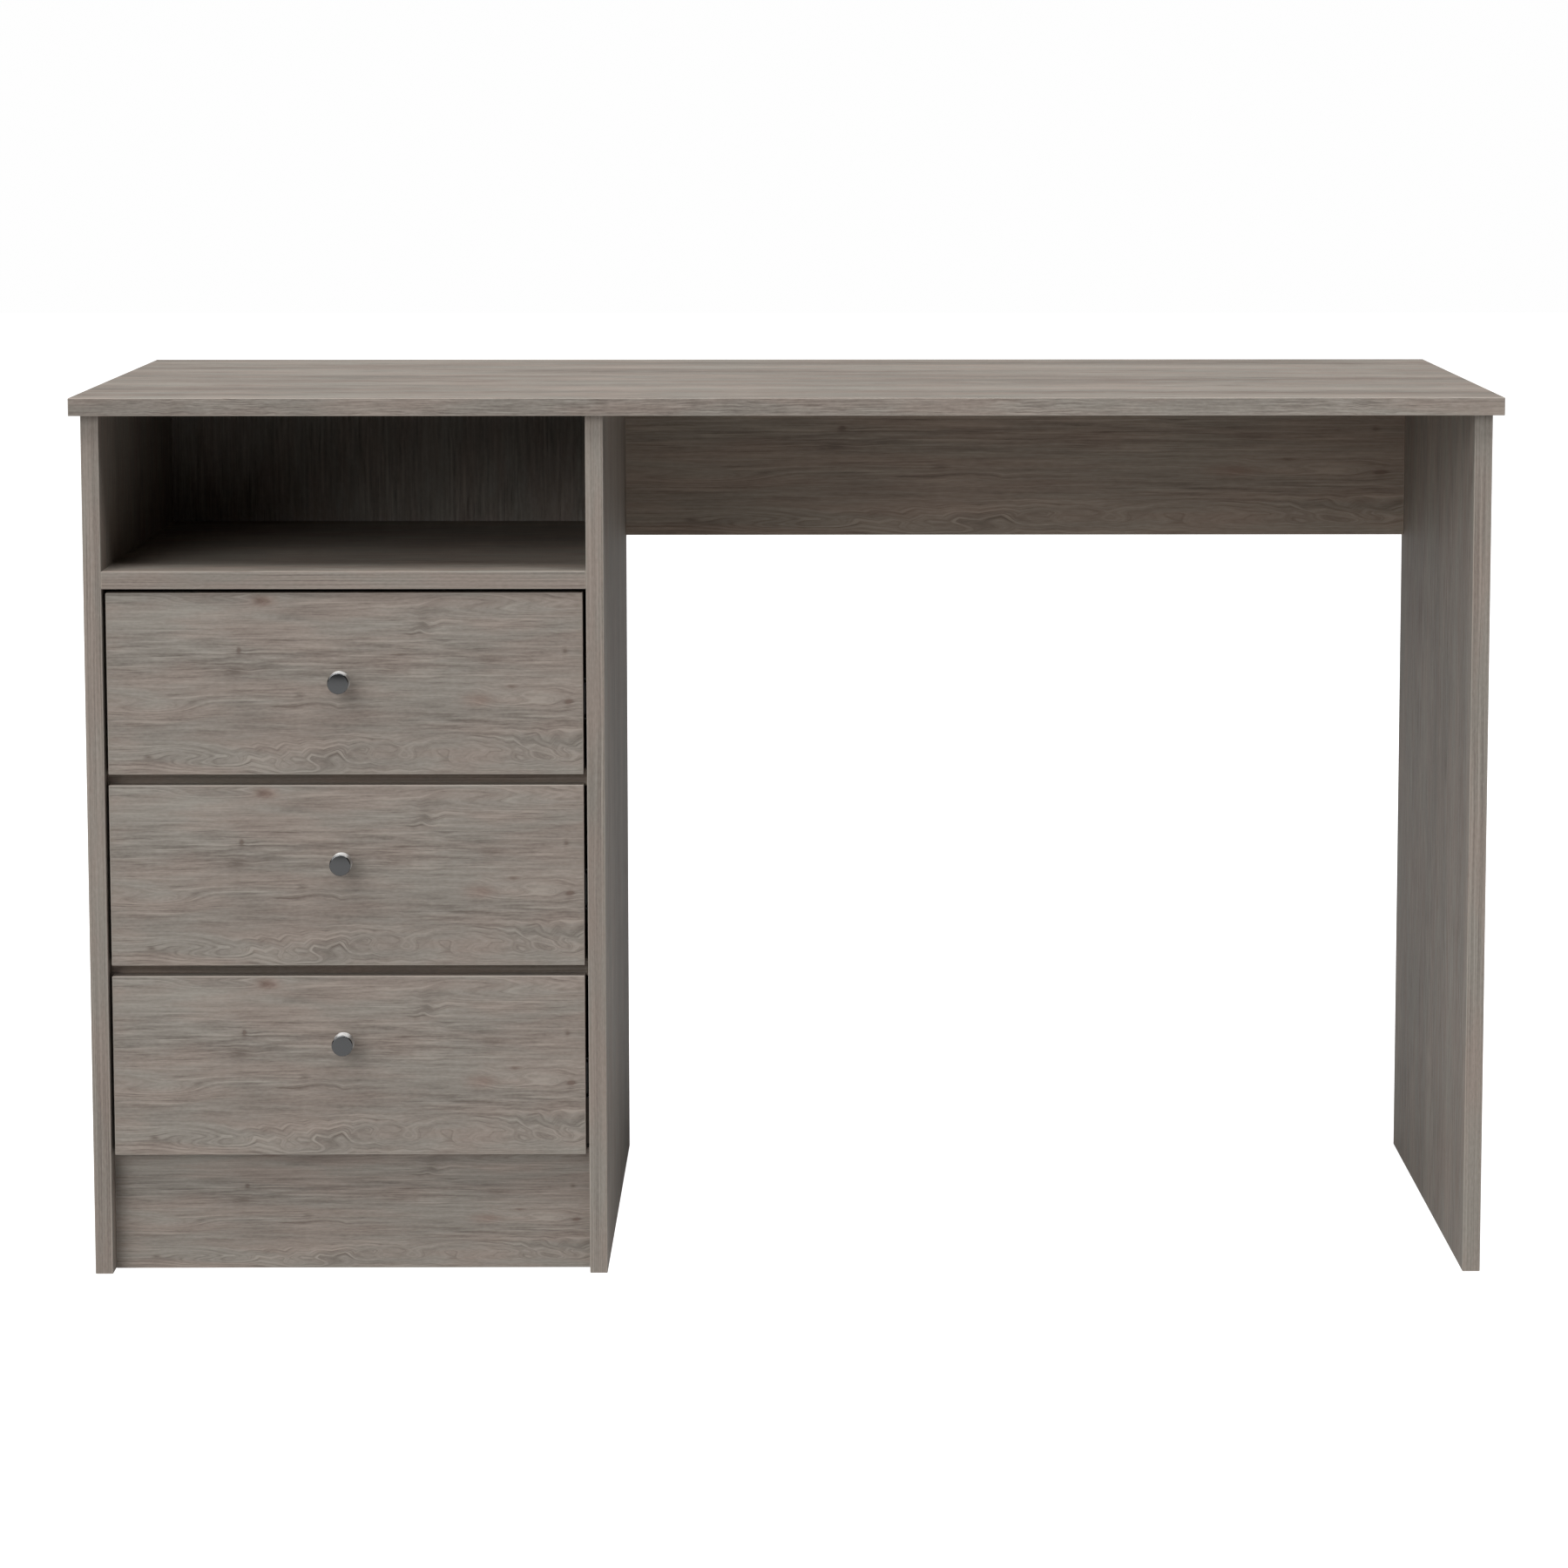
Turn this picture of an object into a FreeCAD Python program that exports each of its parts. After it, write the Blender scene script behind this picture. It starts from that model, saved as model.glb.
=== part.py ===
import FreeCAD, Part
import os

# Writing desk: a desktop on three upright panels, with a pedestal on the left that has an open
# bay over three drawers, and a modesty board behind the knee space on the right.
# Millimetres. +X points right, +Y points to the back, +Z points up. The origin is on the floor
# under the centre of the desktop.

# Driving dimensions of the desk
DESK_WIDTH = 1200.0
DESK_DEPTH = 500.0
DESK_HEIGHT = 750.0
BOARD = 15.0                    # thickness of every carcass board and drawer front
ARRIS = 0.4                     # small chamfer on every board edge
TOP_OVERHANG_SIDE = 8.5
TOP_OVERHANG_FRONT = 10.0
PANEL_DEPTH = 450.0
PEDESTAL_WIDTH = 407.0          # clear width between the pedestal's two panels
BACK_PANEL_INSET = 15.0         # from the panels' rear edges to the back board
SHELF_UNDERSIDE = 588.5         # height of the shelf's and the modesty board's lower faces

# Drawer fronts
FRONT_HEIGHT = 154.5
FRONT_GAP_TOP = 3.5             # between the shelf and the upper drawer front
FRONT_GAP_BETWEEN = 9.3
FRONT_GAP_SIDE = 3.0
FRONT_RECESS = 3.0              # behind the panels' front edges
FRONT_TO_RAIL = 0.5

# Rails between the drawers, and the plinth
RAIL_DEPTH = 60.0
PLINTH_HEIGHT = 105.0

# Knobs
KNOB_OFFSET = -3.5              # from the middle of the drawer front
KNOB_HEIGHTS = {"upper": 80.8, "middle": 90.3, "lower": 99.7}   # over the front's lower edge
KNOB_RADIUS = 9.0
KNOB_CHAMFER = 0.5
KNOB_HEAD_LENGTH = 14.0
KNOB_NECK_RADIUS = 4.5
KNOB_NECK_LENGTH = 11.0
KNOB_THREAD_RADIUS = 2.0
KNOB_THREAD_DEPTH = 10.0
KNOB_SCREW_HEAD_RADIUS = 4.0
KNOB_SCREW_HEAD_HEIGHT = 2.4
KNOB_SCREW_ROUNDING = 1.0
KNOB_SCREW_DRIVE = (4.5, 1.0, 1.2)       # length, width and depth of the cross slot

# Drawer boxes
BOX_BOARD = 12.0
BOX_HEIGHT = 115.0
BOX_LENGTH = 360.0
BOX_LIFT = 12.0                 # box's lower edge over the front's lower edge
BOTTOM_THICKNESS = 3.0
BOTTOM_LIFT = 8.0               # bottom sheet over the box's lower edge
GROOVE_DEPTH = 6.0
GROOVE_PLAY = 0.1

# Telescopic slides, three nested members each
SLIDE_THICKNESS = 12.7
SLIDE_PLAY = 0.3                # between the slide and the drawer box
SLIDE_LENGTH = 350.0
SLIDE_SETBACK = 3.0             # from the back of the drawer front to the slide's end
SLIDE_LIFT = 50.0               # slide's centre line over the box's lower edge
SHEET = 1.2                     # steel sheet of the slide members
CABINET_HALF_HEIGHT = 17.5
INTERMEDIATE_HALF_HEIGHT = 13.5
DRAWER_HALF_HEIGHT = 9.5
CABINET_SPAN = (0.0, 9.5)       # web and lip distances from the pedestal's panel
INTERMEDIATE_SPAN = (2.2, 11.0)
DRAWER_SPAN = (12.7, 4.4)
CABINET_SCREWS = (30.0, 165.0, 320.0)    # from the slide's front end
DRAWER_SCREWS = (45.0, 180.0, 305.0)

# Fasteners
FIT = 0.05                      # radial room round every fastener
CAM_SETBACK = 24.0              # from the joint face to the cam's axis
CAM_RADIUS = 7.5
CAM_SKIN = 2.5                  # board left under a cam
CAM_BOLT_RADIUS = 2.5
CAM_BOLT_HEAD_RADIUS = 3.3
CAM_BOLT_HEAD_LENGTH = 3.0
CAM_BOLT_SKIN = 4.0             # board left in front of a cam bolt's tip
CAM_BORE_RADIUS = 4.0
CAM_DRIVE = (8.0, 1.4, 2.0)     # length, width and depth of the cam's cross slot
DOWEL_RADIUS = 4.0
DOWEL_IN_FACE = 10.0
DOWEL_IN_EDGE = 20.0
SCREW_RADIUS = 1.75
SCREW_HEAD_RADIUS = 3.0
SCREW_HEAD_HEIGHT = 1.2
SCREW_LENGTH = 12.0
SCREW_TIP = 2.0
SCREW_DRIVE = (3.2, 0.7, 0.7)   # length, width and depth of the screw's cross slot
BRACKET_LEG = 20.0
BRACKET_WIDTH = 16.0
BRACKET_SHEET = 2.0
BRACKET_SCREW_AT = 12.0         # from the bracket's corner

# Places along the boards
TOP_DOWELS_Y = (-200.0, -30.0)
BRACKETS_Y = (45.0, 150.0)
SHELF_CAMS_Y = (-200.0, 130.0)
SHELF_DOWEL_Y = -35.0
RAIL_CAM_AT = 42.0              # behind the rail's front face
RAIL_DOWEL_AT = 14.0
PLINTH_CAM_Z = 72.0
PLINTH_DOWEL_Z = 30.0
MODESTY_CAMS_Z = (616.0, 702.0)
MODESTY_DOWELS_X = (-60.0, 211.0, 480.0)
BACK_CAMS_Z = (80.0, 400.0, 690.0)
BACK_DOWELS_X = (-500.0, -246.0)
BOX_FRONT_CAMS_Z = (22.0, 93.0)          # over the box's lower edge
BOX_BACK_CAMS_Z = (34.0, 92.0)

# Derived planes
TOP_UNDERSIDE = DESK_HEIGHT - BOARD
LEFT_OUTER = -DESK_WIDTH / 2 + TOP_OVERHANG_SIDE
LEFT_INNER = LEFT_OUTER + BOARD
MIDDLE_LEFT = LEFT_INNER + PEDESTAL_WIDTH
MIDDLE_RIGHT = MIDDLE_LEFT + BOARD
RIGHT_OUTER = -LEFT_OUTER
RIGHT_INNER = RIGHT_OUTER - BOARD
PANEL_FRONT = -DESK_DEPTH / 2 + TOP_OVERHANG_FRONT
PANEL_REAR = PANEL_FRONT + PANEL_DEPTH
BACK_REAR = PANEL_REAR - BACK_PANEL_INSET
BACK_FRONT = BACK_REAR - BOARD
MODESTY_FRONT = PANEL_REAR - BOARD
FRONT_FACE = PANEL_FRONT + FRONT_RECESS
FRONT_BACK = FRONT_FACE + BOARD
RAIL_FRONT = FRONT_BACK + FRONT_TO_RAIL
FRONT_LEFT = LEFT_INNER + FRONT_GAP_SIDE
FRONT_RIGHT = MIDDLE_LEFT - FRONT_GAP_SIDE
FRONT_MIDDLE = (FRONT_LEFT + FRONT_RIGHT) / 2
BOX_LEFT = LEFT_INNER + SLIDE_THICKNESS + SLIDE_PLAY
BOX_RIGHT = MIDDLE_LEFT - SLIDE_THICKNESS - SLIDE_PLAY
BOX_REAR = FRONT_BACK + BOX_LENGTH
SLIDE_FRONT = FRONT_BACK + SLIDE_SETBACK

UPPER_BOTTOM = SHELF_UNDERSIDE - FRONT_GAP_TOP - FRONT_HEIGHT
DRAWER_PITCH = FRONT_HEIGHT + FRONT_GAP_BETWEEN
FRONT_BOTTOMS = {
    "upper": UPPER_BOTTOM,
    "middle": UPPER_BOTTOM - DRAWER_PITCH,
    "lower": UPPER_BOTTOM - 2 * DRAWER_PITCH,
}

X = FreeCAD.Vector(1, 0, 0)
Y = FreeCAD.Vector(0, 1, 0)
Z = FreeCAD.Vector(0, 0, 1)

pieces = {}                     # node name: its solids
holes = {}                      # node name: what is drilled or cut out of it


def add(node, solid):
    pieces.setdefault(node, []).append(solid)


def drill(node, tool):
    holes.setdefault(node, []).append(tool)


def point(x, y, z):
    return FreeCAD.Vector(x, y, z)


def box(low, high):
    size = high - low
    return Part.makeBox(size.x, size.y, size.z, low)


def board(node, low, high):
    """A laminated board with a small chamfer along all its edges."""
    solid = box(low, high)
    add(node, solid.makeChamfer(ARRIS, solid.Edges))


def cross_slot(centre, into, across, drive):
    """Two crossed slots for a screwdriver, cut into a head from its outer face."""
    length, width, depth = drive
    along = into.cross(across)
    slots = []
    for long_way, short_way in ((across, along), (along, across)):
        corner = centre - long_way * (length / 2) - short_way * (width / 2)
        edge = Part.makePolygon([
            corner,
            corner + long_way * length,
            corner + long_way * length + short_way * width,
            corner + short_way * width,
            corner,
        ])
        slots.append(Part.Face(edge).extrude(into * depth))
    return slots[0].fuse(slots[1])


# ---- Fasteners ----

def cam_joint(nodes, thicknesses, at, into, opening):
    """A cam bolt screwed into a panel's face at a point, held by a cam lock in the board that
    meets it. The bolt runs along into, and the lock's seat opens towards opening."""
    bolts, locks, panel, edge_board = nodes
    panel_thickness, thickness = thicknesses
    thread = panel_thickness - CAM_BOLT_SKIN
    tip = at - into * thread
    cam_axis = at + into * CAM_SETBACK
    bolt = Part.makeCylinder(CAM_BOLT_RADIUS, thread + CAM_SETBACK, tip, into)
    head_start = cam_axis - into * CAM_BOLT_HEAD_LENGTH
    head = Part.makeCylinder(CAM_BOLT_HEAD_RADIUS, CAM_BOLT_HEAD_LENGTH, head_start, into)
    add(bolts, bolt.fuse(head).removeSplitter())
    drill(panel, Part.makeCylinder(CAM_BOLT_RADIUS + FIT, thread + FIT, tip - into * FIT, into))

    depth = thickness - CAM_SKIN
    face = cam_axis + opening * (thickness / 2)
    seat = Part.makeCylinder(CAM_RADIUS, depth, face - opening * depth, opening)
    bore = Part.makeCylinder(CAM_BORE_RADIUS, CAM_SETBACK + CAM_BORE_RADIUS, at, into)
    drill(edge_board, seat.fuse(bore))
    body = Part.makeCylinder(CAM_RADIUS - FIT, depth - 2 * FIT, face - opening * (depth - FIT),
                             opening)
    slot = cross_slot(face - opening * FIT, opening * -1, into, CAM_DRIVE)
    add(locks, body.cut([bore, slot]))


def dowel_joint(dowels, face_board, edge_board, at, into):
    """A dowel whose short end is in a board's face and whose long end is in the other's edge."""
    start = at - into * DOWEL_IN_FACE
    length = DOWEL_IN_FACE + DOWEL_IN_EDGE
    add(dowels, Part.makeCylinder(DOWEL_RADIUS, length, start, into))
    hole = Part.makeCylinder(DOWEL_RADIUS + FIT, length + 2 * FIT, start - into * FIT, into)
    drill(face_board, hole)
    drill(edge_board, hole)


def wood_screw(screws, sheet, wood, at, into):
    """A countersunk screw through a metal sheet into a board. at is on the sheet's outer face."""
    across = Z if abs(into.z) < 0.5 else X
    shank_length = SCREW_LENGTH - SCREW_HEAD_HEIGHT - SCREW_TIP
    neck = at + into * SCREW_HEAD_HEIGHT
    shank_end = neck + into * shank_length
    head = Part.makeCone(SCREW_HEAD_RADIUS, SCREW_RADIUS, SCREW_HEAD_HEIGHT, at, into)
    shank = Part.makeCylinder(SCREW_RADIUS, shank_length, neck, into)
    tip = Part.makeCone(SCREW_RADIUS, 0, SCREW_TIP, shank_end, into)
    screw = head.fuse([shank, tip]).removeSplitter()
    add(screws, screw.cut(cross_slot(at, into, across, SCREW_DRIVE)))
    sink = Part.makeCone(SCREW_HEAD_RADIUS + FIT, SCREW_RADIUS + FIT, SCREW_HEAD_HEIGHT, at, into)
    hole = Part.makeCylinder(SCREW_RADIUS + FIT, SCREW_LENGTH + FIT, at, into)
    drill(sheet, sink.fuse(hole))
    drill(wood, hole)


# ---- Carcass boards ----

def carcass_boards():
    board("desktop", point(-DESK_WIDTH / 2, -DESK_DEPTH / 2, TOP_UNDERSIDE),
          point(DESK_WIDTH / 2, DESK_DEPTH / 2, DESK_HEIGHT))
    panels = {
        "left_side_panel": LEFT_OUTER,
        "middle_side_panel": MIDDLE_LEFT,
        "right_leg_panel": RIGHT_INNER,
    }
    for node, left in panels.items():
        board(node, point(left, PANEL_FRONT, 0), point(left + BOARD, PANEL_REAR, TOP_UNDERSIDE))
    board("modesty_panel", point(MIDDLE_RIGHT, MODESTY_FRONT, SHELF_UNDERSIDE),
          point(RIGHT_INNER, PANEL_REAR, TOP_UNDERSIDE))
    board("open_shelf", point(LEFT_INNER, PANEL_FRONT, SHELF_UNDERSIDE),
          point(MIDDLE_LEFT, BACK_FRONT, SHELF_UNDERSIDE + BOARD))
    board("pedestal_back_panel", point(LEFT_INNER, BACK_FRONT, 0),
          point(MIDDLE_LEFT, BACK_REAR, TOP_UNDERSIDE))
    board("plinth_board", point(LEFT_INNER, RAIL_FRONT, 0),
          point(MIDDLE_LEFT, RAIL_FRONT + BOARD, PLINTH_HEIGHT))
    for node, low in rail_heights().items():
        board(node, point(LEFT_INNER, RAIL_FRONT, low),
              point(MIDDLE_LEFT, RAIL_FRONT + RAIL_DEPTH, low + BOARD))


def rail_heights():
    """Each rail stands behind the gap between two fronts, a little wider than the gap."""
    heights = {}
    for node, above in (("upper_drawer_rail", "upper"), ("lower_drawer_rail", "middle")):
        gap_middle = FRONT_BOTTOMS[above] - FRONT_GAP_BETWEEN / 2
        heights[node] = gap_middle - BOARD / 2
    return heights


# ---- Carcass joints ----

def between_panels(left_panel, right_panel, left, right, edge_board, y, z, opening):
    """A cam joint at each end of a board that spans two upright panels."""
    for panel, x, into in ((left_panel, left, X), (right_panel, right, X * -1)):
        nodes = ("frame_cam_bolts", "frame_cam_locks", panel, edge_board)
        cam_joint(nodes, (BOARD, BOARD), point(x, y, z), into, opening)


def dowels_between_panels(left_panel, right_panel, left, right, edge_board, y, z):
    for panel, x, into in ((left_panel, left, X), (right_panel, right, X * -1)):
        dowel_joint("frame_dowels", panel, edge_board, point(x, y, z), into)


def carcass_joints():
    pedestal = ("left_side_panel", "middle_side_panel", LEFT_INNER, MIDDLE_LEFT)
    knee = ("middle_side_panel", "right_leg_panel", MIDDLE_RIGHT, RIGHT_INNER)
    shelf_middle = SHELF_UNDERSIDE + BOARD / 2
    for y in SHELF_CAMS_Y:
        between_panels(*pedestal, "open_shelf", y, shelf_middle, Z * -1)
    dowels_between_panels(*pedestal, "open_shelf", SHELF_DOWEL_Y, shelf_middle)
    for node, low in rail_heights().items():
        middle = low + BOARD / 2
        between_panels(*pedestal, node, RAIL_FRONT + RAIL_CAM_AT, middle, Z * -1)
        dowels_between_panels(*pedestal, node, RAIL_FRONT + RAIL_DOWEL_AT, middle)
    plinth_middle = RAIL_FRONT + BOARD / 2
    between_panels(*pedestal, "plinth_board", plinth_middle, PLINTH_CAM_Z, Y)
    dowels_between_panels(*pedestal, "plinth_board", plinth_middle, PLINTH_DOWEL_Z)
    back_middle = BACK_REAR - BOARD / 2
    for z in BACK_CAMS_Z:
        between_panels(*pedestal, "pedestal_back_panel", back_middle, z, Y)
    modesty_middle = PANEL_REAR - BOARD / 2
    for z in MODESTY_CAMS_Z:
        between_panels(*knee, "modesty_panel", modesty_middle, z, Y)


def top_joints():
    """Dowels into the desktop's underside, and corner brackets out of sight behind its edge."""
    down = Z * -1
    for x in BACK_DOWELS_X:
        at = point(x, BACK_REAR - BOARD / 2, TOP_UNDERSIDE)
        dowel_joint("frame_dowels", "desktop", "pedestal_back_panel", at, down)
    for x in MODESTY_DOWELS_X:
        at = point(x, PANEL_REAR - BOARD / 2, TOP_UNDERSIDE)
        dowel_joint("frame_dowels", "desktop", "modesty_panel", at, down)
    panels = (
        ("left_side_panel", LEFT_OUTER, LEFT_INNER, 1),
        ("middle_side_panel", MIDDLE_LEFT, MIDDLE_RIGHT, 1),
        ("right_leg_panel", RIGHT_INNER, RIGHT_INNER, -1),
    )
    for node, left, bracket_face, inward in panels:
        for y in TOP_DOWELS_Y:
            at = point(left + BOARD / 2, y, TOP_UNDERSIDE)
            dowel_joint("frame_dowels", "desktop", node, at, down)
        for y in BRACKETS_Y:
            corner_bracket(node, bracket_face, inward, y)


def corner_bracket(panel, face, inward, y):
    """A steel angle in the corner of the desktop and a panel, with one screw into each."""
    corner = point(face, y - BRACKET_WIDTH / 2, TOP_UNDERSIDE)
    out = X * inward
    down = Z * -1
    outline = Part.makePolygon([
        corner,
        corner + out * BRACKET_LEG,
        corner + out * BRACKET_LEG + down * BRACKET_SHEET,
        corner + out * BRACKET_SHEET + down * BRACKET_SHEET,
        corner + out * BRACKET_SHEET + down * BRACKET_LEG,
        corner + down * BRACKET_LEG,
        corner,
    ])
    angle = Part.Face(outline).extrude(Y * BRACKET_WIDTH)
    middle = corner + Y * (BRACKET_WIDTH / 2)
    up_screw = middle + out * BRACKET_SCREW_AT + down * BRACKET_SHEET
    side_screw = middle + out * BRACKET_SHEET + down * BRACKET_SCREW_AT
    bracket = f"bracket_{panel}_{y}"
    add(bracket, angle)
    wood_screw("frame_screws", bracket, "desktop", up_screw, Z)
    wood_screw("frame_screws", bracket, panel, side_screw, out * -1)
    add("corner_brackets", drilled(bracket)[0])
    del pieces[bracket]


# ---- Slides ----

def channel(web_x, lip_x, half_height, z):
    """A C-shaped steel member, as long as the slide, with its back at web_x."""
    out = 1 if lip_x > web_x else -1
    inner = web_x + out * SHEET
    corners = (
        (web_x, -half_height),
        (lip_x, -half_height),
        (lip_x, -half_height + SHEET),
        (inner, -half_height + SHEET),
        (inner, half_height - SHEET),
        (lip_x, half_height - SHEET),
        (lip_x, half_height),
        (web_x, half_height),
        (web_x, -half_height),
    )
    outline = Part.makePolygon([point(x, SLIDE_FRONT, z + rise) for x, rise in corners])
    return Part.Face(outline).extrude(Y * SLIDE_LENGTH)


def slides(name, box_low):
    """The left and right slide of one drawer, with their screws."""
    z = box_low + SLIDE_LIFT
    sides = (
        ("left", LEFT_INNER, 1, "left_side_panel"),
        ("right", MIDDLE_LEFT, -1, "middle_side_panel"),
    )
    for side, wall, inward, panel in sides:
        cabinet = f"{name}_{side}_cabinet_member"
        drawer = f"{name}_{side}_drawer_member"
        members = (
            (cabinet, CABINET_SPAN, CABINET_HALF_HEIGHT),
            (f"{name}_intermediate_members", INTERMEDIATE_SPAN, INTERMEDIATE_HALF_HEIGHT),
            (drawer, DRAWER_SPAN, DRAWER_HALF_HEIGHT),
        )
        for node, (web, lip), half_height in members:
            add(node, channel(wall + inward * web, wall + inward * lip, half_height, z))
        to_panel = X * -inward
        for offset in CABINET_SCREWS:
            at = point(wall + inward * SHEET, SLIDE_FRONT + offset, z)
            wood_screw("frame_screws", cabinet, panel, at, to_panel)
        web = wall + inward * (DRAWER_SPAN[0] - SHEET)
        for offset in DRAWER_SCREWS:
            at = point(web, SLIDE_FRONT + offset, z)
            wood_screw(f"{name}_drawer_slide_screws", drawer, f"{name}_drawer_{side}_side", at,
                       to_panel * -1)


# ---- Drawers ----

def drawer_box(name, low):
    """Sides, back and bottom sheet of one drawer, with low at the box's lower edge."""
    front = f"{name}_drawer_front"
    back = f"{name}_drawer_back"
    inner_left = BOX_LEFT + BOX_BOARD
    inner_right = BOX_RIGHT - BOX_BOARD
    sheet_low = low + BOTTOM_LIFT
    sheet_top = sheet_low + BOTTOM_THICKNESS
    sides = (("left", BOX_LEFT), ("right", inner_right))
    for side, x in sides:
        board(f"{name}_drawer_{side}_side", point(x, FRONT_BACK, low),
              point(x + BOX_BOARD, BOX_REAR, low + BOX_HEIGHT))
    board(back, point(inner_left, BOX_REAR - BOX_BOARD, sheet_top),
          point(inner_right, BOX_REAR, low + BOX_HEIGHT))

    reach = GROOVE_DEPTH - GROOVE_PLAY
    add(f"{name}_drawer_bottom", box(
        point(inner_left - reach, FRONT_BACK - reach, sheet_low),
        point(inner_right + reach, BOX_REAR, sheet_top)))
    groove = box(
        point(inner_left - GROOVE_DEPTH, FRONT_BACK - GROOVE_DEPTH, sheet_low - GROOVE_PLAY),
        point(inner_right + GROOVE_DEPTH, BOX_REAR + BOARD, sheet_top + GROOVE_PLAY))
    for node in (front, f"{name}_drawer_left_side", f"{name}_drawer_right_side"):
        drill(node, groove)

    fasteners = (f"{name}_drawer_cam_bolts", f"{name}_drawer_cam_locks")
    box_sides = (("left", BOX_LEFT, inner_left, X), ("right", inner_right, inner_right, X * -1))
    for side, x, inner, into in box_sides:
        side_board = f"{name}_drawer_{side}_side"
        for rise in BOX_FRONT_CAMS_Z:
            at = point(x + BOX_BOARD / 2, FRONT_BACK, low + rise)
            cam_joint((*fasteners, front, side_board), (BOARD, BOX_BOARD), at, Y, into)
        for rise in BOX_BACK_CAMS_Z:
            at = point(inner, BOX_REAR - BOX_BOARD / 2, low + rise)
            cam_joint((*fasteners, side_board, back), (BOX_BOARD, BOX_BOARD), at, into, Y)


def top_edge(cylinder):
    """The rim of a cylinder's far end along +Y."""
    return max(cylinder.Edges, key=lambda edge: edge.BoundBox.YMin)


def knob(name, z):
    """A round metal knob on a neck, turned about its axis and screwed on from behind."""
    x = FRONT_MIDDLE + KNOB_OFFSET
    forward = Y * -1
    neck_end = FRONT_FACE - KNOB_NECK_LENGTH
    face = neck_end - KNOB_HEAD_LENGTH
    profile = (
        (FRONT_FACE, 0),
        (FRONT_FACE, KNOB_NECK_RADIUS),
        (neck_end, KNOB_NECK_RADIUS),
        (neck_end, KNOB_RADIUS - KNOB_CHAMFER),
        (neck_end - KNOB_CHAMFER, KNOB_RADIUS),
        (face + KNOB_CHAMFER, KNOB_RADIUS),
        (face, KNOB_RADIUS - KNOB_CHAMFER),
        (face, 0),
        (FRONT_FACE, 0),
    )
    outline = Part.makePolygon([point(x + radius, y, z) for y, radius in profile])
    add(f"{name}_drawer_knob", Part.Face(outline).revolve(point(x, 0, z), Y, 360))

    inner_face = point(x, FRONT_BACK, z)
    length = BOARD + KNOB_THREAD_DEPTH
    shank = Part.makeCylinder(KNOB_THREAD_RADIUS, length, inner_face, forward)
    head = Part.makeCylinder(KNOB_SCREW_HEAD_RADIUS, KNOB_SCREW_HEAD_HEIGHT, inner_face, Y)
    head = head.makeFillet(KNOB_SCREW_ROUNDING, [top_edge(head)])
    outer = inner_face + Y * KNOB_SCREW_HEAD_HEIGHT
    screw = shank.fuse(head).removeSplitter()
    add(f"{name}_drawer_knob_screw", screw.cut(cross_slot(outer, forward, X, KNOB_SCREW_DRIVE)))
    hole = Part.makeCylinder(KNOB_THREAD_RADIUS + FIT, length + FIT, inner_face, forward)
    drill(f"{name}_drawer_front", hole)
    drill(f"{name}_drawer_knob", hole)


def drawer(name):
    bottom = FRONT_BOTTOMS[name]
    board(f"{name}_drawer_front", point(FRONT_LEFT, FRONT_FACE, bottom),
          point(FRONT_RIGHT, FRONT_BACK, bottom + FRONT_HEIGHT))
    drawer_box(name, bottom + BOX_LIFT)
    slides(name, bottom + BOX_LIFT)
    knob(name, bottom + KNOB_HEIGHTS[name])


# ---- Output ----

def drilled(node):
    """A node's solids with its holes cut."""
    tools = holes.get(node, [])
    if not tools:
        return pieces[node]
    return [solid.cut(tools) for solid in pieces[node]]


def write(node):
    solids = []
    for shape in drilled(node):
        solids.extend(shape.Solids)
    result = solids[0] if len(solids) == 1 else Part.makeCompound(solids)
    result.exportStep(f"parts/{node}.step")
    print(node, len(solids), round(result.Volume), result.isValid())


carcass_boards()
carcass_joints()
top_joints()
for drawer_name in FRONT_BOTTOMS:
    drawer(drawer_name)

os.makedirs("parts", exist_ok=True)
for node_name in pieces:
    write(node_name)
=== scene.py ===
import math

import bmesh
import bpy
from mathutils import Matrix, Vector

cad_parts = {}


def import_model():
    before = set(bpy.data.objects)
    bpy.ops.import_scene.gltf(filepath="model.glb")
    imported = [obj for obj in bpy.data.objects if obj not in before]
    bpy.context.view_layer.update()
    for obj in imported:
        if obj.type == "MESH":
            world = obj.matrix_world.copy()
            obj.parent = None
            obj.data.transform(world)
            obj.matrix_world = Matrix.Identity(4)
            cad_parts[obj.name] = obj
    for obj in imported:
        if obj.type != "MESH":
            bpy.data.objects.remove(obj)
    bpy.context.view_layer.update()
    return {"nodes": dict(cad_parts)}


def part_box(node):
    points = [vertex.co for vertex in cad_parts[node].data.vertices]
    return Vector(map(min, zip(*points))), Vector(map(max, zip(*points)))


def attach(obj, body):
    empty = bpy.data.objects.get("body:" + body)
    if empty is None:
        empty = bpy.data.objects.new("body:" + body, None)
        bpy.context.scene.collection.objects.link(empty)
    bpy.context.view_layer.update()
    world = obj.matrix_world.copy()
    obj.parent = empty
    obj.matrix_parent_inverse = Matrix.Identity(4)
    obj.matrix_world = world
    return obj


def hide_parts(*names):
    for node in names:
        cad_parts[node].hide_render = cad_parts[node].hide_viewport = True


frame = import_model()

# Looks of the writing desk: laminated oak boards, metal knobs and fittings, floor, lights, camera.
# Metres. +X right, +Y back, +Z up, origin on the floor under the middle of the desktop.

X, Y, Z = 0, 1, 2
NODES = frame["nodes"]
DRAWERS = ("upper", "middle", "lower")
TOP_LOW, TOP_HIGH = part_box("desktop")
TOP_MIDDLE = (TOP_LOW.z + TOP_HIGH.z) / 2
FRONT_EDGE = TOP_LOW.y
DESK_HEIGHT = TOP_HIGH.z

# ---- Small node-tree helpers ----


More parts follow.
